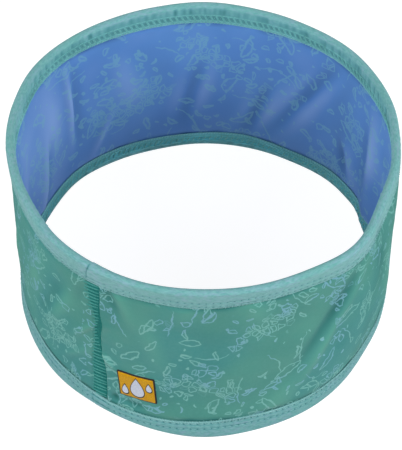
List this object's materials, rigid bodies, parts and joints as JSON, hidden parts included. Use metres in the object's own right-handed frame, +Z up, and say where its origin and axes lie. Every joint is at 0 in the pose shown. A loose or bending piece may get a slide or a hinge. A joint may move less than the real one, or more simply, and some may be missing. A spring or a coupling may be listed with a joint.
{
  "type": "dog cooling collar",
  "caption": "Soft cloth neck loop for a dog: a thin outer shell and a cooling inner lining, bound along both edges and closed by one side seam.",
  "frame": {"origin": "middle of the collar's bounding box, on the surface that its lower edge stands on", "axes": "+Z up along the neck, -Y the front with the side seam and the label at its left, +X to the right"},
  "size_m": [0.148, 0.1606, 0.0765],
  "materials": {
    "shell_cloth": "matte printed weave",
    "lining_cloth": "smooth matte weave",
    "binding_tape": "matte heathered knit",
    "seam_thread": "matte thread",
    "label_weave": "matte woven label"
  },
  "bodies": {
    "root": {"outer_shell": "shell_cloth", "inner_lining": "lining_cloth", "lower_binding": "binding_tape", "upper_binding": "binding_tape", "side_seam": "seam_thread", "label": "label_weave"}
  },
  "joints": []
}
